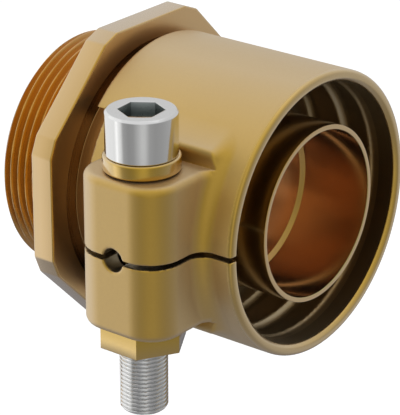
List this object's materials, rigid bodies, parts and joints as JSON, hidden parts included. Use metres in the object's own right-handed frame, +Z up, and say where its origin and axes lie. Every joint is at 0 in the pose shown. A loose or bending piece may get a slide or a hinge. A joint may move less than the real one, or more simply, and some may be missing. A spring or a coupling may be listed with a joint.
{
  "type": "pex pipe coupling",
  "caption": "Brass clamp coupling for large plastic pipe: male thread with wrench flange, support sleeve, and a slit clamp sleeve closed by a socket head screw on its lug.",
  "frame": {"origin": "on the pipe axis, where the male thread meets the rear face of the wrench flange", "axes": "+X along the pipe axis towards the clamp's mouth, +Z up along the clamp screw towards its head, and the clamp's lug on the -Y side"},
  "size_m": [0.0742, 0.0876, 0.0781],
  "materials": {
    "brass_body": "satin, turned",
    "brass_clamp": "satin, forged and blasted",
    "brass_washer": "satin",
    "stainless": "satin",
    "ring_rubber": "matte"
  },
  "bodies": {
    "coupling": {"body": "brass_body", "sealing_ring": "ring_rubber"},
    "lower_shell": {"lower_jaw": "brass_clamp", "clamp_nut": "brass_washer"},
    "upper_shell": {"upper_jaw": "brass_clamp"},
    "washer": {"clamp_washer": "brass_washer"},
    "screw": {"clamp_screw": "stainless"}
  },
  "joints": [
    {"name": "clamp_swivel", "type": "hinge", "parent": "coupling", "child": "lower_shell", "pos_m": [0.018, 0, 0], "axis": [1, 0, 0], "continuous": true},
    {"name": "jaw_flex", "type": "hinge", "parent": "lower_shell", "child": "upper_shell", "pos_m": [0.033, 0.03355, 0], "axis": [1, 0, 0], "range_deg": [-1.02, 0.76]},
    {"name": "washer_travel", "type": "slide", "parent": "lower_shell", "child": "washer", "axis": [0, 0, -1], "range_m": [-0.0013, 0.00096]},
    {"name": "screw_turn", "type": "hinge", "parent": "washer", "child": "screw", "pos_m": [0.035, -0.0394, 0.0275], "axis": [0, 0, -1], "range_deg": [-468.01, 345.61]}
  ],
  "couplings": [
    {"joint": "screw_turn", "follows": "washer_travel", "rad_per_m": 6283.2},
    {"joint": "jaw_flex", "follows": "washer_travel", "rad_per_m": 13.708}
  ]
}
